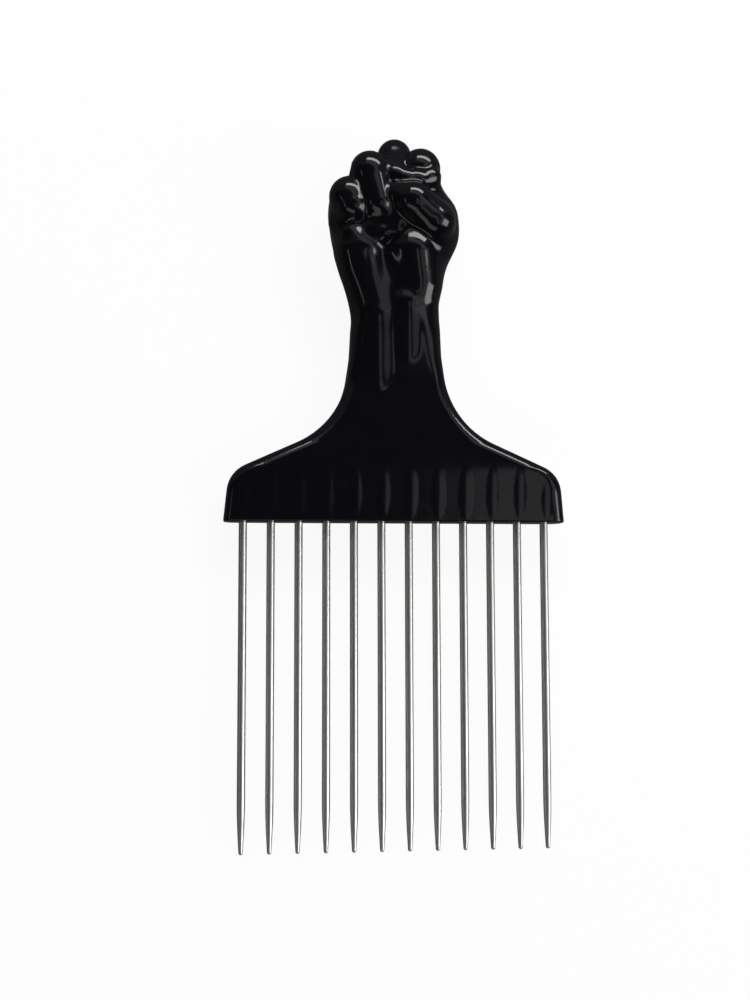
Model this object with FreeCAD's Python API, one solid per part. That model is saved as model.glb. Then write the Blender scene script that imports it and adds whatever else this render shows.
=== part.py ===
import FreeCAD, Part
import math
import os

# Afro pick: a moulded handle, a raised fist on a comb head, that holds a row of round steel pins.
# Millimetres. The pick lies on its back: +X runs along the row of pins, +Y points from the pin tips to
# the fist and +Z is up, out of the palm. The origin is under the middle of the pick, on the surface it
# lies on. While it is built, Y is measured from the pin edge, where the pins leave the moulding.

Vector = FreeCAD.Vector

# Overall sizes
overall_length = 150.0
pin_exposed = 68.0

# Comb head: a flat plate with sloping shoulders, thinner towards the pin edge
head_width = 72.0
head_thickness = 10.0
head_corner_radius = 0.7
head_edge_radius = 2.2
side_draft = 1.1
shoulder_height = 10.2
shoulder_radius = 6.5
throat_width = 23.5
throat_height = 20.6
throat_radius = 18.0
pin_edge_thickness = 7.4
pin_edge_taper = 12.0

# Swells of the moulding over the pin sockets, on both faces
swell_width = 2.6
swell_length = 10.0
swell_height = 0.3
swell_root = 0.3
swell_place = 6.0
end_swell_length = 7.4
end_swell_place = 4.6

# Grip: the wrist and the fist. Their heights are drops below the top of the fist, drawn for a grip of the
# length given here, and stretch with the real one. The neck of the head ends inside the wrist.
drawn_grip_length = 61.4
neck_top_drop = 38.5

# Wrist and hand, from the root inside the head up to the knuckles: drop, left side, right side, front and
# corner radius of each section
hand_sections = [
    (53.0, -8.5, 8.5, 8.6, 3.0),
    (47.0, -9.5, 9.5, 10.6, 4.0),
    (42.0, -9.5, 9.5, 11.6, 4.6),
    (neck_top_drop, -9.3, 9.3, 12.0, 5.0),
    (33.0, -10.3, 9.5, 12.2, 5.2),
    (29.0, -11.8, 10.6, 12.0, 5.2),
    (24.0, -13.1, 12.3, 12.0, 5.2),
    (19.0, -13.9, 13.4, 12.0, 5.2),
    (14.0, -13.5, 11.6, 11.8, 5.0),
    (9.5, -10.8, 9.0, 11.0, 4.6),
    (6.5, -7.0, 6.4, 9.4, 3.6),
]
hand_back = 0.3

# Digits and pads of the palm: side, drop, depth from the back and radius at each joint
digits = {
    "little": [(-9.8, 15.6, 5.2, 4.3), (-10.4, 14.1, 11.2, 4.2), (-9.6, 16.0, 12.0, 3.6)],
    "ring": [(-5.0, 11.0, 4.9, 4.4), (-5.9, 9.0, 12.2, 4.0), (-4.2, 15.6, 12.8, 3.5)],
    "middle": [(0.0, 9.4, 4.9, 4.5), (-0.3, 3.5, 7.4, 3.5), (0.2, 14.8, 12.0, 3.4)],
    "index": [(5.6, 11.2, 5.0, 4.6), (4.9, 7.7, 11.4, 4.2), (5.0, 14.0, 11.6, 3.8)],
    "thumb": [(7.4, 25.5, 9.6, 4.6), (7.0, 18.8, 13.4, 4.4), (0.4, 12.6, 15.6, 3.7)],
    "thumb_ball": [(4.2, 31.4, 7.8, 5.2), (5.2, 27.0, 9.0, 6.4)],
    "heel": [(-6.6, 35.5, 6.6, 3.0), (-9.4, 22.5, 7.8, 4.6)],
}
joint_step = 0.06

# Pins: drawn wire with a long taper, and a barbed shank inside the head
pin_count = 12
pin_edge_margin = 4.1
pin_diameter = 1.7
pin_tip_diameter = 0.9
pin_taper_length = 11.0
shank_diameter = 1.3
shank_length = 8.4
shank_chamfer = 0.3
barb_count = 3
barb_diameter = 2.1
barb_length = 1.4
barb_pitch = 2.4

# Sizes that follow from the ones above
handle_length = overall_length - pin_exposed
grip_stretch = (handle_length - throat_height) / drawn_grip_length
pin_edge_y = pin_exposed - overall_length / 2
pin_level = head_thickness / 2
pin_pitch = (head_width - 2 * pin_edge_margin) / (pin_count - 1)
pin_places = [(i - (pin_count - 1) / 2) * pin_pitch for i in range(pin_count)]
edge_step = (head_thickness - pin_edge_thickness) / 2
edge_slope = math.degrees(math.atan2(edge_step, pin_edge_taper))
side_lean = math.atan2(side_draft, shoulder_height)
neck_half_width = hand_sections[0][2]

# Lengths below this are read as nought
tolerance = 1e-6


def rounded_outline(corners):
    """Closed outline through corners (x, y, radius): straight runs joined by tangent arcs."""
    points = [Vector(x, y, 0) for x, y, radius in corners]
    arcs = []
    for i, (x, y, radius) in enumerate(corners):
        to_last = (points[i - 1] - points[i]).normalize()
        to_next = (points[(i + 1) % len(points)] - points[i]).normalize()
        half_angle = to_last.getAngle(to_next) / 2
        reach = radius / math.tan(half_angle)
        inward = (to_last + to_next).normalize()
        middle = points[i] + inward * (radius / math.sin(half_angle) - radius)
        arcs.append((points[i] + to_last * reach, middle, points[i] + to_next * reach))
    edges = []
    for i, (start, middle, finish) in enumerate(arcs):
        edges.append(Part.Arc(start, middle, finish).toShape())
        edges.append(Part.LineSegment(finish, arcs[(i + 1) % len(arcs)][0]).toShape())
    return Part.Wire(edges)


def grip_height(drop, radius=0):
    """Height of a section, or of a ball of that radius, whose drop is given. A ball keeps its size."""
    return handle_length - radius - (drop - radius) * grip_stretch


def both_faces(shape):
    """The shape as built for the front of the head, and its mirror image for the back."""
    return [shape, shape.mirror(Vector(0, 0, pin_level), Vector(0, 0, 1))]


def comb_head():
    """Flat plate of the head and neck, rounded along its outline and tapered to the pin edge."""
    corner_x = head_width / 2 + head_corner_radius * (1 / math.tan(math.pi / 4 - side_lean / 2) - 1)
    right = [
        (corner_x, 0, head_corner_radius),
        (head_width / 2 - side_draft, shoulder_height, shoulder_radius),
        (throat_width / 2, throat_height, throat_radius),
        (neck_half_width, grip_height(neck_top_drop), head_corner_radius),
    ]
    left = [(-x, y, radius) for x, y, radius in reversed(right)]
    plate = Part.Face(rounded_outline(right + left)).extrude(Vector(0, 0, head_thickness))
    rims = [edge for edge in plate.Edges
            if edge.BoundBox.ZLength < tolerance and edge.CenterOfMass.y > head_corner_radius]
    plate = plate.makeFillet(head_edge_radius, rims)
    slice_corners = [
        Vector(-head_width, pin_edge_taper, head_thickness),
        Vector(-head_width, -pin_edge_taper, head_thickness - 2 * edge_step),
        Vector(-head_width, -pin_edge_taper, 2 * head_thickness),
        Vector(-head_width, pin_edge_taper, 2 * head_thickness),
    ]
    face = Part.Face(Part.makePolygon(slice_corners + slice_corners[:1]))
    return plate.cut(both_faces(face.extrude(Vector(2 * head_width, 0, 0))))


def swells():
    """Long low domes over the sockets: parts of ellipsoids sunk into the tapered faces of the head."""
    rise = swell_height + swell_root
    spread = math.sqrt(1 - (swell_root / rise) ** 2)
    shapes = []
    for x in pin_places:
        at_end = x in (pin_places[0], pin_places[-1])
        length = end_swell_length if at_end else swell_length
        place = end_swell_place if at_end else swell_place
        level = head_thickness - edge_step * (1 - place / pin_edge_taper) - swell_root
        stretch = FreeCAD.Matrix()
        stretch.scale(swell_width / 2 / spread, length / 2 / spread, rise)
        dome = Part.makeSphere(1).transformGeometry(stretch)
        dome.rotate(Vector(0, 0, 0), Vector(1, 0, 0), edge_slope)
        dome.translate(Vector(x, place, level))
        shapes += both_faces(dome)
    return shapes


def hand():
    """Wrist and palm: one smooth loft of rounded sections, from inside the head up to the knuckles."""
    wires = []
    for drop, left, right, front, radius in hand_sections:
        corners = [(right, hand_back), (right, front), (left, front), (left, hand_back)]
        wire = rounded_outline([(x, z, radius) for x, z in corners])
        wire.rotate(Vector(0, 0, 0), Vector(1, 0, 0), 90)
        wire.translate(Vector(0, grip_height(drop), 0))
        wires.append(wire)
    return Part.makeLoft(wires, True)


def bone(start, end, start_radius, end_radius):
    """Solid between two joints: a ball at each end and the cone that touches both."""
    length = (end - start).Length
    lean = math.asin((start_radius - end_radius) / length)

    def on_ball(center, radius, angle):
        return Vector(center + radius * math.sin(angle), radius * math.cos(angle), 0)

    lowest = on_ball(0, start_radius, -math.pi / 2)
    highest = on_ball(length, end_radius, math.pi / 2)
    leave = on_ball(0, start_radius, lean)
    arrive = on_ball(length, end_radius, lean)
    edges = [
        Part.Arc(lowest, on_ball(0, start_radius, (lean - math.pi / 2) / 2), leave).toShape(),
        Part.LineSegment(leave, arrive).toShape(),
        Part.Arc(arrive, on_ball(length, end_radius, (lean + math.pi / 2) / 2), highest).toShape(),
        Part.LineSegment(highest, lowest).toShape(),
    ]
    solid = Part.Face(Part.Wire(edges)).revolve(Vector(0, 0, 0), Vector(1, 0, 0), 360)
    solid.Placement = FreeCAD.Placement(start, FreeCAD.Rotation(Vector(1, 0, 0), end - start))
    return solid


def digit(joints):
    """Bones from joint to joint. Each bone starts a little slimmer than the last one ended."""
    centers = [Vector(side, grip_height(drop, radius), depth) for side, drop, depth, radius in joints]
    bones = []
    for i in range(len(joints) - 1):
        bones.append(bone(centers[i], centers[i + 1], joints[i][3] - joint_step * i, joints[i + 1][3]))
    return bones


def pin():
    """One turned pin: round tip, long taper, straight wire and, past the pin edge, the barbed shank."""
    radius = pin_diameter / 2
    tip = pin_tip_diameter / 2
    shank = shank_diameter / 2
    barb = barb_diameter / 2
    tip_middle = Vector(tip * math.sin(math.pi / 4), tip * (1 - math.cos(math.pi / 4)) - pin_exposed, 0)
    profile = [(tip, tip - pin_exposed), (radius, pin_taper_length - pin_exposed)]
    profile += [(radius, 0), (shank, 0)]
    first_barb = shank_length - barb_count * barb_pitch
    for i in range(barb_count):
        y = first_barb + i * barb_pitch
        profile += [(shank, y), (barb, y), (shank, y + barb_length)]
    profile += [(shank, shank_length - shank_chamfer), (shank - shank_chamfer, shank_length)]
    profile += [(0, shank_length)]
    points = [Vector(x, y, 0) for x, y in profile]
    lowest = Vector(0, -pin_exposed, 0)
    edges = [Part.Arc(lowest, tip_middle, points[0]).toShape()]
    points.append(lowest)
    for start, end in zip(points, points[1:]):
        edges.append(Part.LineSegment(start, end).toShape())
    return Part.Face(Part.Wire(edges)).revolve(Vector(0, 0, 0), Vector(0, 1, 0), 360)


def pins():
    """The row of pins, named from left to right."""
    row = {}
    for i, x in enumerate(pin_places):
        piece = pin()
        piece.translate(Vector(x, 0, pin_level))
        row["pin_%02d" % (i + 1)] = piece
    return row


def handle(inserts):
    """The whole moulding, closed round the shanks of the pins."""
    fist = [hand()]
    for joints in digits.values():
        fist += digit(joints)
    body = comb_head().fuse(swells())
    for piece in fist:
        body = body.fuse(piece)
    return body.cut(inserts)


nodes = pins()
nodes["handle"] = handle(list(nodes.values()))
os.makedirs("parts", exist_ok=True)
for name, shape in nodes.items():
    shape.translate(Vector(0, pin_edge_y, 0))
    shape.exportStep("parts/%s.step" % name)
    print(name, len(shape.Solids), shape.isValid(), round(shape.Volume, 1), shape.BoundBox)
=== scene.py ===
import math

import bmesh
import bpy
import numpy as np
from mathutils import Matrix, Vector


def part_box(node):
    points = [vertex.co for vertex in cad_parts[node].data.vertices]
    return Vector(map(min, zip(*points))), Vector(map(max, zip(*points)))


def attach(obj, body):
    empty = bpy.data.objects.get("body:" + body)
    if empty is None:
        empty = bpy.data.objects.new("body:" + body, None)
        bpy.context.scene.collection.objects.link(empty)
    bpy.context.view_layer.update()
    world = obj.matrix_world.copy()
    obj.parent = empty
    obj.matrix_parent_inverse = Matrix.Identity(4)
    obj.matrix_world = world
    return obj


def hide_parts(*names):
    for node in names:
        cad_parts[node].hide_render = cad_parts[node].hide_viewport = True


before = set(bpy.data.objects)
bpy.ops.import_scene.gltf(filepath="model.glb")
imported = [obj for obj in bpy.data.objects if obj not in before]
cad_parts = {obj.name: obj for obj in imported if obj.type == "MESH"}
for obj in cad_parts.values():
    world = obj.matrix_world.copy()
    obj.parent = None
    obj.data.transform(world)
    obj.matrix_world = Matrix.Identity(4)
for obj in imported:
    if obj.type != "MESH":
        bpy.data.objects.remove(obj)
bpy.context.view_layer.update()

bl_info = {
    "name": "Afro pick",
    "version": (1, 0, 0),
    "blender": (4, 5, 0),
    "location": "View3D > Sidebar > Afro pick",
    "description": "A hair pick: a glossy black moulded fist on a comb head, with a row of steel pins",
    "category": "Add Mesh",
}

# The shapes are worked out in millimetres, with y measured from the pin edge as on a maker's
# drawing. Meshes are in metres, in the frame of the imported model.
MM = 0.001
PIN_EDGE_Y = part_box("handle")[0].y / MM
PIN_NODES = sorted(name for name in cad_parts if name.startswith("pin_"))
PIN_PLACES = [(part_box(name)[0].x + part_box(name)[1].x) / 2 / MM for name in PIN_NODES]
PIN_PITCH = (PIN_PLACES[-1] - PIN_PLACES[0]) / (len(PIN_PLACES) - 1)

# Distance below which two points of a mesh become one
MERGE_DISTANCE = 0.002

# Pins: ring close below the shoulder, which keeps its shading even, heights and length of the ring
# barbs, chamfer at the end of the shank, rings of the tip and of the taper, and sides
SHOULDER_RING = 0.1
BARB_HEIGHTS = (1.2, 3.6, 6.0)
BARB_LENGTH = 1.4
SHANK_CHAMFER = 0.3
TIP_RINGS = 9
TAPER_RINGS = 12
PIN_SIDES = 40


class HandleSettings(bpy.types.PropertyGroup):
    """Sizes, in millimetres, and colour of the moulded handle."""

    swell_width: bpy.props.FloatProperty(
        name="Swell width", description="Width of the swell over each pin socket, mm", default=2.2)
    swell_height: bpy.props.FloatProperty(
        name="Swell height", description="Rise of the swell over each pin socket, mm", default=0.07)
    crease: bpy.props.FloatProperty(
        name="Crease", description="Rounding where two fingers meet, mm", default=0.7)
    bend: bpy.props.FloatProperty(
        name="Bend", description="Rounding where a digit bends, mm", default=0.4)
    pad_seat: bpy.props.FloatProperty(
        name="Pad seat", description="Rounding where a pad sinks into the palm, mm", default=2.0)
    fold_seat: bpy.props.FloatProperty(
        name="Fold seat", description="Rounding along the folds and tendons, mm", default=1.9)
    tip_seat: bpy.props.FloatProperty(
        name="Tip seat", description="Rounding where the fingers lie on the palm, mm", default=2.0)
    thumb_seat: bpy.props.FloatProperty(
        name="Thumb seat", description="Rounding where the thumb lies on the fist, mm", default=0.8)
    plastic_color: bpy.props.StringProperty(
        name="Plastic colour", description="sRGB hex colour of the moulding", default="08080f")


class PinSettings(bpy.types.PropertyGroup):
    """Sizes, in millimetres, and colour of the steel pins."""

    wire_diameter: bpy.props.FloatProperty(
        name="Wire diameter", description="Diameter of the straight part of a pin, mm", default=1.7)
    tip_diameter: bpy.props.FloatProperty(
        name="Tip diameter", description="Diameter of the blunt tip, mm", default=0.9)
    taper_length: bpy.props.FloatProperty(
        name="Taper length", description="Length of the ground taper, mm", default=11.0)
    shank_diameter: bpy.props.FloatProperty(
        name="Shank diameter", description="Diameter of the wire inside the head, mm", default=1.3)
    shank_length: bpy.props.FloatProperty(
        name="Shank length", description="Length of the wire inside the head, mm", default=8.4)
    barb_diameter: bpy.props.FloatProperty(
        name="Barb diameter", description="Diameter of the ring barbs on the shank, mm", default=2.1)
    steel_color: bpy.props.StringProperty(
        name="Steel colour", description="sRGB hex colour of the bright steel", default="e2e0dc")


class StageSettings(bpy.types.PropertyGroup):
    """Floor, lamps and camera."""

    floor_color: bpy.props.StringProperty(
        name="Floor colour", description="sRGB hex colour of the floor", default="565656")
    white_lift: bpy.props.FloatProperty(
        name="White lift", description="Light added to the floor for the camera, where 1 is white",
        default=0.93)
    mirror_lift: bpy.props.FloatProperty(
        name="Mirror lift", description="Light added to the floor as mirrored and clear surfaces show it",
        default=0.03)
    view_angle: bpy.props.FloatProperty(
        name="View angle", description="Horizontal view angle of the camera", default=math.radians(33.83),
        subtype="ANGLE")
    camera_place: bpy.props.FloatVectorProperty(
        name="Camera place", description="Where the camera stands", default=(-0.03033, -0.02462, 0.26270),
        subtype="TRANSLATION", unit="LENGTH")
    camera_aim: bpy.props.FloatVectorProperty(
        name="Camera aim", description="Direction the camera looks in",
        default=(0.10041, 0.08601, -0.99122), subtype="DIRECTION")
    camera_up: bpy.props.FloatVectorProperty(
        name="Camera up", description="Direction of the picture's upper side",
        default=(-0.00659, 0.99629, 0.08578), subtype="DIRECTION")


def linear(hex_color):
    """Linear RGBA of an sRGB hex colour."""
    channels = [int(hex_color[i:i + 2], 16) / 255 for i in (0, 2, 4)]
    return [c / 12.92 if c <= 0.04045 else ((c + 0.055) / 1.055) ** 2.4 for c in channels] + [1.0]


def add_node(tree, kind, settings=None, inputs=None):
    """Adds a node, sets its settings and inputs, and links the inputs that are given as sockets."""
    node = tree.nodes.new(kind)
    for key, value in (settings or {}).items():
        setattr(node, key, value)
    for key, value in (inputs or {}).items():
        if isinstance(value, bpy.types.NodeSocket):
            tree.links.new(value, node.inputs[key])
        else:
            node.inputs[key].default_value = value
    return node


def new_material(name):
    """An empty node material with its output node."""
    material = bpy.data.materials.new(name)
    material.use_nodes = True
    material.node_tree.nodes.clear()
    return material, material.node_tree, add_node(material.node_tree, "ShaderNodeOutputMaterial")


def grid_mesh(grid):
    """Points and faces of a grid of points whose columns close into rings."""
    index = np.arange(grid.shape[0] * grid.shape[1]).reshape(grid.shape[:2])
    following = np.roll(index, -1, axis=1)
    faces = np.stack([index[:-1], following[:-1], following[1:], index[1:]], -1).reshape(-1, 4)
    return grid.reshape(-1, 3), faces


def mesh_piece(name, grid, material):
    """An object at the origin from a grid of points in millimetres, y from the pin edge. Points
    that coincide become one, which closes its ends."""
    points, faces = grid_mesh(grid)
    mesh = bpy.data.meshes.new(name)
    mesh.from_pydata((points + np.array([0, PIN_EDGE_Y, 0])) * MM, [], faces.tolist())
    shape = bmesh.new()
    shape.from_mesh(mesh)
    bmesh.ops.remove_doubles(shape, verts=shape.verts, dist=MERGE_DISTANCE * MM)
    bmesh.ops.recalc_face_normals(shape, faces=shape.faces)
    shape.to_mesh(mesh)
    shape.free()
    mesh.polygons.foreach_set("use_smooth", np.ones(len(mesh.polygons), bool))
    mesh.materials.append(material)
    piece = bpy.data.objects.new(name, mesh)
    bpy.context.scene.collection.objects.link(piece)
    return piece


def smooth_table(places, values, at):
    """Smooth curve through a table: a cubic between each two places, with the slopes of the
    table."""
    places = np.asarray(places, float)
    values = np.asarray(values, float)
    slopes = np.gradient(values, places)
    at = np.clip(at, places[0], places[-1])
    i = np.clip(np.searchsorted(places, at, "right") - 1, 0, len(places) - 2)
    gap = places[i + 1] - places[i]
    t = (at - places[i]) / gap
    rise = t * t * (3 - 2 * t)
    return (values[i] + (values[i + 1] - values[i]) * rise
            + gap * t * (1 - t) * ((1 - t) * slopes[i] - t * slopes[i + 1]))


def soft_union(a, b, width):
    """The smaller of two distances, rounded off where they differ by less than width."""
    share = np.maximum(width - np.abs(a - b), 0) / width
    return np.minimum(a, b) - share * share * width / 4


def bone(points, start, end, start_radius, end_radius):
    """Distance to the hull of two balls. The nearest ball between them has its centre where the
    point projects on the axis, moved along it by the distance from the axis times the tangent of
    the taper."""
    start = np.array(start, float)
    axis = np.array(end, float) - start
    length = np.linalg.norm(axis)
    axis /= length
    local = points - start
    along = local @ axis
    away = np.sqrt(np.maximum((local * local).sum(-1) - along * along, 0))
    lean = (end_radius - start_radius) / length
    t = np.clip((along + away * lean / math.sqrt(1 - lean * lean)) / length, 0, 1)
    return np.hypot(away, along - t * length) - (start_radius + t * (end_radius - start_radius))


def rounded_box(across, up, radius):
    """Distance in a plane to a box with round corners, from the distances past its two pairs of sides."""
    across = across + radius
    up = up + radius
    outside = np.hypot(np.maximum(across, 0), np.maximum(up, 0))
    return outside + np.minimum(np.maximum(across, up), 0) - radius


# Outline of the right half of the comb head and neck: x, y and corner radius of each corner, points
# on each arc, and samples along the whole outline
HEAD_CORNERS = [
    (36.0, -2.0, 0.1),
    (36.0, 0.0, 0.1),
    (34.9, 10.2, 6.5),
    (11.75, 20.6, 18.0),
    (8.5, 43.5, 0.1),
    (8.5, 60.0, 0.1),
]
ARC_POINTS = 33
OUTLINE_SAMPLES = 2400

# Pin edge: how much lower each face is there, height at which this taper ends, rounding of its end,
# and rounding of the edge itself
PIN_EDGE_STEP = 1.3
PIN_EDGE_TAPER = 12.0
TAPER_BLEND = 3.0
PIN_EDGE_ROUND = 0.35

# Swells over the pin sockets: middle and half-length along y, shorter at the two end pins, and
# rounding where they leave the face
SWELL_MIDDLE = 6.0
SWELL_HALF_LENGTH = 5.0
END_SWELL_MIDDLE = 4.6
END_SWELL_HALF_LENGTH = 3.7
SWELL_BLEND = 0.12

# Rounding where the sides of the head run into those of the grip
SIDE_BLEND = 0.4

# Sections of the grip above the head: height, left side, right side, back, front and corner radius
GRIP_SECTIONS = [
    (0.0, -8.0, 8.0, 0.0, 10.0, 2.5),
    (25.0, -8.0, 8.0, 0.0, 10.0, 2.5),
    (30.0, -8.6, 8.6, 0.0, 10.1, 2.8),
    (35.0, -9.5, 9.5, 0.0, 10.8, 3.6),
    (40.0, -9.5, 9.5, 0.0, 11.6, 4.4),
    (43.5, -9.3, 9.3, 0.0, 12.0, 5.0),
    (49.0, -10.3, 9.5, 0.1, 12.2, 5.2),
    (53.0, -11.8, 10.6, 0.2, 12.0, 5.2),
    (58.0, -13.1, 12.3, 0.2, 12.0, 5.2),
    (63.0, -13.9, 13.4, 0.2, 12.0, 5.2),
    (68.0, -13.4, 11.6, 0.3, 11.8, 5.0),
    (72.5, -10.7, 8.8, 0.5, 11.0, 4.6),
    (75.5, -7.0, 6.4, 1.2, 9.4, 3.6),
]

# Digits and pads: x, y, z and radius at each joint
LITTLE = [(-9.4, 66.2, 5.2, 4.2), (-10.1, 68.0, 11.2, 4.2), (-9.5, 66.0, 12.0, 3.6)]
RING = [(-5.0, 71.0, 4.9, 4.4), (-5.9, 73.3, 12.2, 4.1), (-4.2, 66.4, 12.8, 3.5)]
MIDDLE = [(0.0, 72.6, 4.9, 4.5), (-0.3, 78.0, 8.4, 3.5), (-0.6, 74.2, 10.0, 3.6), (0.2, 67.2, 12.0, 3.4)]
INDEX = [(5.0, 70.8, 5.0, 4.2), (5.0, 74.7, 10.4, 4.2), (4.7, 70.8, 9.8, 4.0)]
INDEX_LIP = [(6.6, 72.3, 12.3, 2.6), (4.2, 71.3, 13.0, 2.6), (1.6, 71.4, 13.2, 2.5),
             (-0.6, 72.4, 13.0, 2.4), (-2.4, 73.6, 12.4, 2.2)]
WEB = [(5.2, 70.5, 8.0, 4.0), (8.1, 65.0, 8.4, 4.9), (8.2, 61.0, 8.2, 4.9)]
THUMB = [(7.4, 58.0, 7.2, 4.2), (7.7, 63.0, 12.4, 4.4), (3.0, 66.5, 14.6, 3.9), (-0.4, 68.0, 13.6, 2.9)]
THUMB_SKIRT = [(7.2, 63.2, 8.6, 5.0), (2.8, 66.2, 10.0, 5.0), (-0.6, 67.8, 10.2, 4.1)]
THUMB_BALL = [(4.4, 50.6, 8.4, 5.0), (3.4, 57.2, 9.5, 5.6)]
PALM_PAD = [(-4.0, 62.0, 9.2, 4.4), (0.4, 64.2, 11.2, 3.8), (5.0, 61.8, 9.2, 4.4)]
HEEL = [(-5.4, 41.0, 6.6, 2.2), (-8.0, 57.0, 9.0, 4.8)]
LITTLE_FOLD = [(-12.6, 63.2, 8.8, 1.5), (-9.8, 60.6, 11.5, 1.5), (-6.0, 57.6, 11.6, 1.4)]
RING_FOLD = [(-5.4, 61.2, 12.4, 1.3), (-3.0, 60.0, 12.6, 1.3), (-0.6, 61.0, 12.6, 1.3)]
OUTER_TENDON = [(-4.0, 30.0, 7.5, 2.6), (-4.4, 43.5, 9.45, 2.8), (-6.8, 57.0, 9.7, 2.6)]
INNER_TENDON = [(2.2, 36.0, 9.0, 1.8), (2.0, 46.0, 10.8, 2.0)]


def head_half_width(y):
    """Half-width of the comb head and its slope at height y: straight runs joined by arcs at the
    corners."""
    corners = np.array(HEAD_CORNERS)
    xs = [corners[0, :1]]
    ys = [corners[0, 1:2]]
    for last, corner, following in zip(corners, corners[1:], corners[2:]):
        to_last = (last - corner)[:2] / np.linalg.norm((last - corner)[:2])
        to_next = (following - corner)[:2] / np.linalg.norm((following - corner)[:2])
        half = math.acos(np.clip(to_last @ to_next, -1, 1)) / 2
        middle = (to_last + to_next) / np.linalg.norm(to_last + to_next)
        center = corner[:2] + middle * corner[2] / math.sin(half)
        sweep = np.linspace(-1, 1, ARC_POINTS)[:, None] * (math.pi / 2 - half)
        side = (to_next - to_last) / np.linalg.norm(to_next - to_last)
        arc = center + corner[2] * (np.sin(sweep) * side - np.cos(sweep) * middle)
        xs.append(arc[:, 0])
        ys.append(arc[:, 1])
    xs = np.concatenate(xs)
    ys = np.concatenate(ys)
    grid = np.linspace(ys[0], ys[-1], OUTLINE_SAMPLES)
    widths = np.interp(grid, ys, xs)
    return np.interp(y, grid, widths), np.interp(y, grid, np.gradient(widths, grid))


def head_swell(settings, x, y):
    """Rise of the faces over the pin sockets: the part of a long flat ellipsoid that stands out of
    the face. As much again of its height is buried."""
    buried = settings.swell_height
    rise = settings.swell_height + buried
    spread = math.sqrt(1 - (buried / rise) ** 2)
    half_width = settings.swell_width / 2
    nearest = np.clip(np.round((x - PIN_PLACES[0]) / PIN_PITCH), 0, len(PIN_PLACES) - 1)
    at_end = (nearest == 0) | (nearest == len(PIN_PLACES) - 1)
    middle = np.where(at_end, END_SWELL_MIDDLE, SWELL_MIDDLE)
    half_length = np.where(at_end, END_SWELL_HALF_LENGTH, SWELL_HALF_LENGTH)
    across = (x - PIN_PLACES[0] - nearest * PIN_PITCH) / (half_width / spread)
    along = (y - middle) / (half_length / spread)
    height = rise * np.sqrt(np.maximum(1 - across ** 2 - along ** 2, 0)) - buried
    return -soft_union(-height, np.zeros_like(height), SWELL_BLEND)


def grip_sides(y):
    """Left and right side at height y: the head's outline or the grip's own sides, whichever is
    further out."""
    table = np.array(GRIP_SECTIONS)
    head = head_half_width(y)[0]
    left = soft_union(-head, smooth_table(table[:, 0], table[:, 1], y), SIDE_BLEND)
    right = -soft_union(-head, -smooth_table(table[:, 0], table[:, 2], y), SIDE_BLEND)
    return left, right


def body_field(settings, points):
    """Distance to the head, wrist and palm: at each height a box with round corners, thinner
    towards the pin edge, with a swell over each pin socket."""
    table = np.array(GRIP_SECTIONS)
    x, y, z = points[..., 0], points[..., 1], points[..., 2]
    left, right = grip_sides(y)
    back, front, radius = (smooth_table(table[:, 0], table[:, k], y) for k in (3, 4, 5))
    slope = head_half_width(y)[1]
    below_taper = -soft_union(y - PIN_EDGE_TAPER, np.zeros_like(y), TAPER_BLEND)
    taper = PIN_EDGE_STEP / PIN_EDGE_TAPER * below_taper
    edge = np.clip(PIN_EDGE_ROUND - y, 0, PIN_EDGE_ROUND)
    round_off = PIN_EDGE_ROUND - np.sqrt(np.maximum(PIN_EDGE_ROUND ** 2 - edge ** 2, 0))
    past_side = np.abs(x - (left + right) / 2) - (right - left) / 2
    across = past_side / np.sqrt(1 + slope * slope) + round_off
    half = (front - back) / 2 - taper - round_off + head_swell(settings, x, y)
    up = np.abs(z - (front + back) / 2) - half
    section = rounded_box(across, up, radius)
    past_end = np.maximum(y - table[-1, 0], 0)
    return np.hypot(np.maximum(section, 0), past_end) + np.minimum(section, 0) * (past_end == 0)


def digit_field(points, joints, bend):
    """Distance to a digit: bones from joint to joint, rounded by bend where they meet."""
    distance = bone(points, joints[0][:3], joints[1][:3], joints[0][3], joints[1][3])
    for start, end in zip(joints[1:], joints[2:]):
        distance = soft_union(distance, bone(points, start[:3], end[:3], start[3], end[3]), bend)
    return distance


def handle_field(settings, points):
    """Distance to the whole moulding, negative inside: body, pads, folds, fingers and thumb in one,
    with soft seams, and flat on the back plane."""

    def digit(joints):
        return digit_field(points, joints, settings.bend)

    palm = body_field(settings, points)
    for pad in (THUMB_BALL, HEEL, WEB, PALM_PAD):
        palm = soft_union(palm, digit(pad), settings.pad_seat)
    for fold in (LITTLE_FOLD, RING_FOLD, OUTER_TENDON, INNER_TENDON):
        palm = soft_union(palm, digit(fold), settings.fold_seat)
    index = soft_union(digit(INDEX), digit(INDEX_LIP), settings.bend)
    fingers = digit(LITTLE)
    for finger in (digit(RING), digit(MIDDLE), index):
        fingers = soft_union(fingers, finger, settings.crease)
    fist = soft_union(palm, fingers, settings.tip_seat)
    thumb = soft_union(digit(THUMB), digit(THUMB_SKIRT), settings.bend)
    return np.maximum(soft_union(fist, thumb, settings.thumb_seat), -points[..., 2])


# Grid of the handle: samples over the front and the back and over each side, how far inside the
# sides the rays start, and heights of the rows of level rays: those close to the pin edge, then the
# low end, high end and number of rows of each band. At the last height the rays fan up. Further rows
# close the flat pin edge.
FACE_SAMPLES = 150
SIDE_SAMPLES = 30
BAG_DEPTH = 4.6
EDGE_HEIGHTS = [0.0, 0.06, 0.14, 0.25, 0.4, 0.6, 0.85]
FAN_HEIGHT = 66.0
ROW_BANDS = [(1.15, 24.0, 78), (24.0, 44.0, 42), (44.0, FAN_HEIGHT, 59)]
FAN_ROWS = 66
EDGE_ROWS = 6

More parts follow.
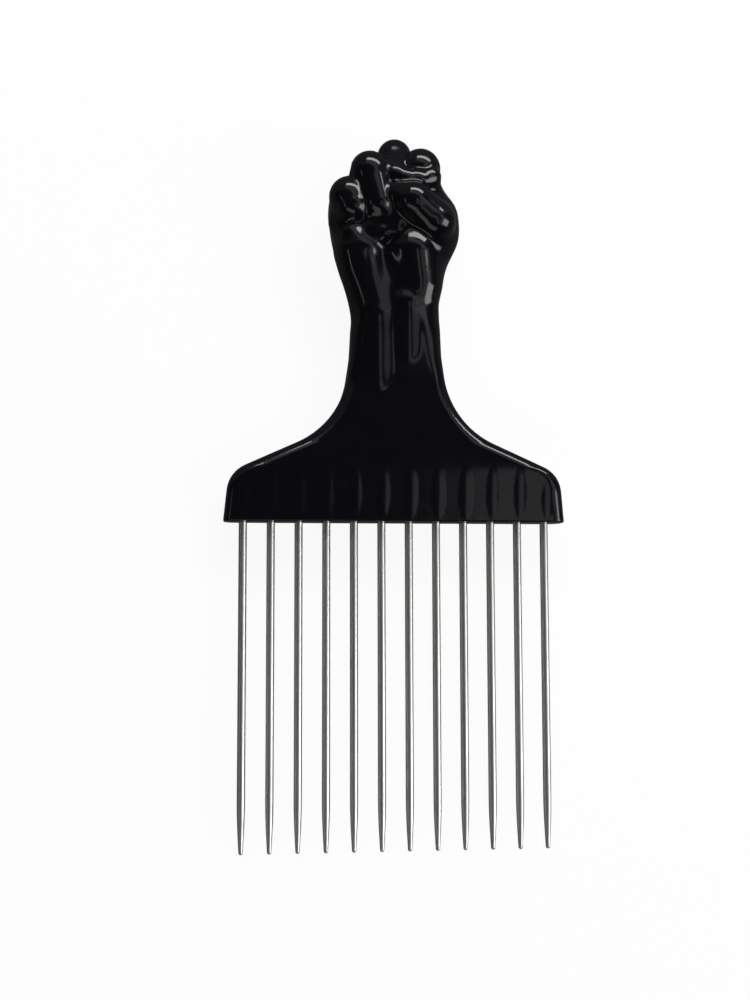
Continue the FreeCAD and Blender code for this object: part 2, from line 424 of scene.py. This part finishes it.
# Rays: distance from which they are followed inwards, most steps, share of the distance to the
# surface that a step goes, and distance from the surface that counts as met
RAY_REACH = 22.0
RAY_STEPS = 70
STEP_SHARE = 0.85
RAY_ERROR = 0.0005

# Heights, and the level at each of them at which the rays start inside the handle
RAY_HEIGHTS = [0.0, 28.0, 46.0, 60.0, 90.0]
RAY_LEVELS = [5.0, 5.0, 6.0, 7.6, 7.6]


def bag_rays():
    """Starts and directions of rays on a grid round and along the handle. Round it: across the
    front, over the right side, back across the back and over the left side, all from a flat line
    inside. Along it: rows of level rays up to the fist, then rays from the last line that fan up to
    the top."""
    bands = [np.linspace(low, high, count, endpoint=False) for low, high, count in ROW_BANDS]
    rows = np.concatenate([EDGE_HEIGHTS, *bands, [FAN_HEIGHT]])
    tilts = np.linspace(0, math.pi / 2, FAN_ROWS)[1:]
    heights = np.concatenate([rows, np.full(len(tilts), FAN_HEIGHT)])
    tilts = np.concatenate([np.zeros(len(rows)), tilts])
    left, right = grip_sides(heights)
    left += BAG_DEPTH
    right -= BAG_DEPTH
    level = smooth_table(RAY_HEIGHTS, RAY_LEVELS, heights)
    face = (np.arange(FACE_SAMPLES) + 0.5) / FACE_SAMPLES
    side = np.linspace(0, 1, SIDE_SAMPLES)
    across = np.concatenate([face, np.ones(SIDE_SAMPLES), face[::-1], np.zeros(SIDE_SAMPLES)])
    turn = np.concatenate([np.zeros(FACE_SAMPLES), side * math.pi, np.full(FACE_SAMPLES, math.pi),
                           (1 + side) * math.pi])
    starts = np.empty((len(heights), len(across), 3))
    starts[..., 0] = left[:, None] + (right - left)[:, None] * across
    starts[..., 1] = heights[:, None]
    starts[..., 2] = level[:, None]
    directions = np.empty_like(starts)
    directions[..., 0] = np.cos(tilts)[:, None] * np.sin(turn)
    directions[..., 1] = np.sin(tilts)[:, None]
    directions[..., 2] = np.cos(tilts)[:, None] * np.cos(turn)
    return starts, directions


def surface_points(field, starts, directions):
    """Points where rays, followed inwards from outside by steps of the distance, first meet the
    surface."""
    shape = starts.shape
    starts = starts.reshape(-1, 3)
    directions = directions.reshape(-1, 3)
    far = np.full(len(starts), RAY_REACH)
    active = np.arange(len(starts))
    for _ in range(RAY_STEPS):
        distance = field(starts[active] + directions[active] * far[active, None])
        far[active] = np.maximum(far[active] - STEP_SHARE * distance, 0)
        active = active[np.abs(distance) > RAY_ERROR]
        if not len(active):
            break
    return (starts + directions * far[:, None]).reshape(shape)


def handle_grid(settings):
    """Points of the handle: the grid of bag_rays on the surface, with rows that shrink to a line in
    the flat pin edge. At the top of the fist the rays of front and back coincide."""
    starts, directions = bag_rays()
    grid = surface_points(lambda points: handle_field(settings, points), starts, directions)
    grid[0, :, 1] = 0
    shrink = np.linspace(1, 0, EDGE_ROWS, endpoint=False)
    edge = grid[0] + (starts[0] - grid[0]) * shrink[:, None, None]
    return np.concatenate([edge, grid])


# Textures: length of the waves and of the rubs in the plastic, width of the draw lines in the steel,
# and how many times longer than wide these are
WAVE_LENGTH = 9.0
RUB_LENGTH = 3.0
DRAW_LINE_WIDTH = 0.5
DRAW_LINE_STRETCH = 50.0


def moulded_polystyrene(settings):
    """Polished black polystyrene: a deep black that shows little but what it mirrors. The mould
    leaves faint waves, which bend the mirrored edges, and handling leaves fine dull rubs."""
    material, tree, output = new_material("black polished polystyrene")
    place = add_node(tree, "ShaderNodeTexCoord").outputs["Object"]
    waves = add_node(tree, "ShaderNodeTexNoise", inputs={
        "Vector": place, "Scale": 1 / (WAVE_LENGTH * MM), "Detail": 1.0, "Roughness": 0.4})
    rubs = add_node(tree, "ShaderNodeTexNoise", inputs={
        "Vector": place, "Scale": 1 / (RUB_LENGTH * MM), "Detail": 5.0, "Roughness": 0.6})
    gloss = add_node(tree, "ShaderNodeMapRange", inputs={
        "Value": rubs.outputs["Fac"], "From Min": 0.35, "From Max": 0.75, "To Min": 0.11, "To Max": 0.17})
    bump = add_node(tree, "ShaderNodeBump", inputs={
        "Strength": 0.25, "Distance": 0.12 * MM, "Height": waves.outputs["Fac"]})
    shader = add_node(tree, "ShaderNodeBsdfPrincipled", inputs={
        "Base Color": linear(settings.plastic_color), "IOR": 1.5, "Roughness": gloss.outputs["Result"],
        "Normal": bump.outputs["Normal"]})
    tree.links.new(shader.outputs["BSDF"], output.inputs["Surface"])
    return material


def drawn_steel(settings):
    """Bright steel wire. Draw lines run along each pin and blur what it mirrors; they are wider
    than real ones, so that they show."""
    material, tree, output = new_material("bright drawn steel wire")
    place = add_node(tree, "ShaderNodeTexCoord").outputs["Object"]
    stretched = add_node(tree, "ShaderNodeMapping", inputs={
        "Vector": place, "Scale": (1.0, 1 / DRAW_LINE_STRETCH, 1.0)})
    lines = add_node(tree, "ShaderNodeTexNoise", inputs={
        "Vector": stretched.outputs["Vector"], "Scale": 1 / (DRAW_LINE_WIDTH * MM), "Detail": 2.0,
        "Roughness": 0.5})
    gloss = add_node(tree, "ShaderNodeMapRange", inputs={
        "Value": lines.outputs["Fac"], "From Min": 0.3, "From Max": 0.7, "To Min": 0.3, "To Max": 0.38})
    bump = add_node(tree, "ShaderNodeBump", inputs={
        "Strength": 0.03, "Distance": 0.01 * MM, "Height": lines.outputs["Fac"]})
    shader = add_node(tree, "ShaderNodeBsdfPrincipled", inputs={
        "Base Color": linear(settings.steel_color), "Metallic": 1.0, "Roughness": gloss.outputs["Result"],
        "Normal": bump.outputs["Normal"]})
    tree.links.new(shader.outputs["BSDF"], output.inputs["Surface"])
    return material


def pin_profile(settings, low):
    """Radius and height along a pin, from the tip up: a quarter round, a taper that eases into the
    straight wire as a sine, and the barbed shank inside the head."""
    radius = settings.wire_diameter / 2
    tip = settings.tip_diameter / 2
    shank = settings.shank_diameter / 2
    barb = settings.barb_diameter / 2
    turn = np.linspace(0, math.pi / 2, TIP_RINGS)
    taper = np.linspace(0, 1, TAPER_RINGS + 1)[1:]
    profile = [
        np.stack([tip * np.sin(turn), low + tip - tip * np.cos(turn)], -1),
        np.stack([tip + (radius - tip) * np.sin(taper * math.pi / 2),
                  low + tip + taper * (settings.taper_length - tip)], -1),
        np.array([(radius, -SHOULDER_RING), (radius, 0.0), (shank, 0.0)]),
    ]
    for y in BARB_HEIGHTS:
        profile.append(np.array([(shank, y), (barb, y), (shank, y + BARB_LENGTH)]))
    top = settings.shank_length
    profile.append(np.array([(shank, top - SHANK_CHAMFER), (shank - SHANK_CHAMFER, top), (0.0, top)]))
    return np.concatenate(profile)


def pin_grid(settings, x, level, low):
    """Points of a pin: its profile turned round the axis through x and level."""
    profile = pin_profile(settings, low)
    turn = np.arange(PIN_SIDES) / PIN_SIDES * 2 * math.pi
    grid = np.empty((len(profile), PIN_SIDES, 3))
    grid[..., 0] = x + profile[:, :1] * np.sin(turn)
    grid[..., 1] = profile[:, 1:]
    grid[..., 2] = level + profile[:, :1] * np.cos(turn)
    return grid


class PICK_OT_handle(bpy.types.Operator):
    """Build the moulded handle"""

    bl_idname = "pick.handle"
    bl_label = "Handle"

    def execute(self, context):
        settings = context.scene.pick_handle
        piece = mesh_piece("moulded_handle", handle_grid(settings), moulded_polystyrene(settings))
        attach(piece, "root")
        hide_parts("handle")
        return {"FINISHED"}


class PICK_OT_pins(bpy.types.Operator):
    """Build the row of steel pins"""

    bl_idname = "pick.pins"
    bl_label = "Pins"

    def execute(self, context):
        settings = context.scene.pick_pins
        steel = drawn_steel(settings)
        for name in PIN_NODES:
            low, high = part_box(name)
            middle = (low + high) / 2 / MM
            grid = pin_grid(settings, middle.x, middle.z, low.y / MM - PIN_EDGE_Y)
            piece = mesh_piece("steel_" + name, grid, steel)
            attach(piece, "root")
            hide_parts(name)
        return {"FINISHED"}


WHITE = (1.0, 1.0, 1.0, 1.0)

# Stage, in metres: half-width of the floor and near limit of the camera
FLOOR_HALF = 3.0
CLIP_START = 0.01

# Far end of the room: how much of a direction points along y where it begins and where it is full,
# and its light at these two
FAR_END = (0.32, 0.4)
FAR_END_LIGHT = (0.015, 0.1)

# Lamps: name, place, point that it faces, width and height, in metres, and radiance
LAMPS = [
    # Wide and dim, overhead on the fist's side
    ("window", (0.27, 0.58, 1.08), (0, 0, 0), (1.9, 0.34), 0.45),
    # Bright, beyond the fist
    ("top_panel", (0.3, 1.0, 0.75), (0, 0, 0), (1.5, 0.32), 8.0),
    # On the right, with a larger dim one above it
    ("right_panel", (1.1, -0.3, 0.6), (0, 0, 0), (0.6, 0.66), 4.0),
    ("right_wall", (0.85, -0.25, 0.9), (0, 0, 0), (1.0, 0.75), 0.4),
    # Beyond the pins
    ("front_panel", (-0.4, -1.0, 0.72), (0, 0, 0), (1.2, 0.42), 0.9),
    # A narrow strip on the left
    ("left_strip", (-1.0, -0.2, 0.6), (0, 0, 0), (0.5, 0.06), 1.8),
    # Faces straight down and is mirrored as the light patch at the right end of the head
    ("low_panel", (0.275, -0.3, 1.0), (0.275, -0.3, 0), (0.17, 0.57), 0.5),
]


def math_node(tree, operation, *values):
    """Result of a node that calculates with numbers and sockets."""
    node = add_node(tree, "ShaderNodeMath", {"operation": operation}, dict(enumerate(values)))
    return node.outputs[0]


def ray_kinds(tree):
    """Whether a ray comes from the camera, and whether from a mirrored or a clear surface."""
    path = add_node(tree, "ShaderNodeLightPath")
    from_mirror = math_node(
        tree, "MAXIMUM", path.outputs["Is Glossy Ray"], path.outputs["Is Transmission Ray"])
    return path.outputs["Is Camera Ray"], from_mirror


def floor_material(settings):
    """Matt grey paper. Light is added to it for the camera, which lifts it to the white background
    and keeps the shadow, and some for mirrored and clear surfaces."""
    material, tree, output = new_material("matt paper")
    from_camera, from_mirror = ray_kinds(tree)
    mirror_light = math_node(tree, "MULTIPLY", from_mirror, settings.mirror_lift)
    light = math_node(tree, "MULTIPLY_ADD", from_camera, settings.white_lift, mirror_light)
    paper = add_node(tree, "ShaderNodeBsdfDiffuse", inputs={"Color": linear(settings.floor_color)})
    lift = add_node(tree, "ShaderNodeEmission", inputs={"Color": WHITE, "Strength": light})
    both = add_node(tree, "ShaderNodeAddShader", inputs={0: paper.outputs[0], 1: lift.outputs[0]})
    tree.links.new(both.outputs[0], output.inputs["Surface"])
    return material


def lay_floor(settings):
    """A flat floor on the plane that the pick lies on."""
    mesh = bpy.data.meshes.new("floor")
    corners = [(-1, -1, 0), (1, -1, 0), (1, 1, 0), (-1, 1, 0)]
    mesh.from_pydata([Vector(corner) * FLOOR_HALF for corner in corners], [], [(0, 1, 2, 3)])
    mesh.materials.append(floor_material(settings))
    floor = bpy.data.objects.new("floor", mesh)
    bpy.context.scene.collection.objects.link(floor)


def softbox(name, place, target, size, radiance):
    """A rectangular lamp at place that faces target. Its power is its area times pi times the
    radiance."""
    lamp = bpy.data.lights.new(name, "AREA")
    lamp.shape = "RECTANGLE"
    lamp.size, lamp.size_y = size
    lamp.energy = math.pi * size[0] * size[1] * radiance
    light = bpy.data.objects.new(name, lamp)
    facing = (Vector(target) - Vector(place)).to_track_quat("-Z", "Y")
    light.matrix_world = Matrix.Translation(place) @ facing.to_matrix().to_4x4()
    bpy.context.scene.collection.objects.link(light)


def studio_world(settings):
    """A dark room whose far end is lit. To the camera it is the white background, and mirrored and
    clear surfaces show it a little lighter."""
    world = bpy.data.worlds.new("studio")
    world.use_nodes = True
    tree = world.node_tree
    direction = add_node(tree, "ShaderNodeTexCoord").outputs["Generated"]
    parts = add_node(tree, "ShaderNodeSeparateXYZ", inputs={0: direction})
    far_end = add_node(tree, "ShaderNodeMapRange", {"interpolation_type": "SMOOTHSTEP"}, {
        "Value": parts.outputs["Y"], "From Min": FAR_END[0], "From Max": FAR_END[1],
        "To Min": FAR_END_LIGHT[0], "To Max": FAR_END_LIGHT[1]})
    from_camera, from_mirror = ray_kinds(tree)
    room = math_node(
        tree, "MULTIPLY_ADD", from_mirror, settings.mirror_lift, far_end.outputs["Result"])
    white = math_node(tree, "MULTIPLY", from_camera, settings.white_lift)
    background = tree.nodes["Background"]
    background.inputs["Color"].default_value = WHITE
    tree.links.new(math_node(tree, "MAXIMUM", room, white), background.inputs["Strength"])
    return world


def photo_camera(settings):
    """The camera of the photo, turned by the direction it looks in and the picture's upper side."""
    camera_data = bpy.data.cameras.new("photo_camera")
    camera_data.sensor_fit = "HORIZONTAL"
    camera_data.angle = settings.view_angle
    camera_data.clip_start = CLIP_START
    camera = bpy.data.objects.new("photo_camera", camera_data)
    back = -Vector(settings.camera_aim).normalized()
    right = Vector(settings.camera_up).cross(back).normalized()
    up = back.cross(right)
    turn = Matrix((right, up, back)).transposed().to_4x4()
    camera.matrix_world = Matrix.Translation(settings.camera_place) @ turn
    bpy.context.scene.collection.objects.link(camera)
    return camera


class PICK_OT_stage(bpy.types.Operator):
    """Set up the floor, lamps and camera"""

    bl_idname = "pick.stage"
    bl_label = "Stage"

    def execute(self, context):
        scene = context.scene
        settings = scene.pick_stage
        lay_floor(settings)
        for lamp in LAMPS:
            softbox(*lamp)
        scene.world = studio_world(settings)
        scene.camera = photo_camera(settings)
        scene.view_settings.view_transform = "Standard"
        return {"FINISHED"}


class PICK_PT_panel(bpy.types.Panel):
    """Sizes, colours and build buttons of the afro pick"""

    bl_idname = "PICK_PT_panel"
    bl_label = "Afro pick"
    bl_space_type = "VIEW_3D"
    bl_region_type = "UI"
    bl_category = "Afro pick"

    def draw(self, context):
        for settings in (context.scene.pick_handle, context.scene.pick_pins, context.scene.pick_stage):
            box = self.layout.box()
            for name in settings.__annotations__:
                box.prop(settings, name)
        for operator in OPERATORS:
            self.layout.operator(operator.bl_idname)


GROUPS = {"pick_handle": HandleSettings, "pick_pins": PinSettings, "pick_stage": StageSettings}
OPERATORS = (PICK_OT_handle, PICK_OT_pins, PICK_OT_stage)


def register():
    for name, group in GROUPS.items():
        bpy.utils.register_class(group)
        setattr(bpy.types.Scene, name, bpy.props.PointerProperty(type=group))
    for operator in OPERATORS:
        bpy.utils.register_class(operator)
    bpy.utils.register_class(PICK_PT_panel)


def unregister():
    bpy.utils.unregister_class(PICK_PT_panel)
    for operator in reversed(OPERATORS):
        bpy.utils.unregister_class(operator)
    for name, group in GROUPS.items():
        delattr(bpy.types.Scene, name)
        bpy.utils.unregister_class(group)


def main():
    register()
    bpy.ops.pick.handle()
    bpy.ops.pick.pins()
    bpy.ops.pick.stage()


if __name__ == "__main__":
    main()
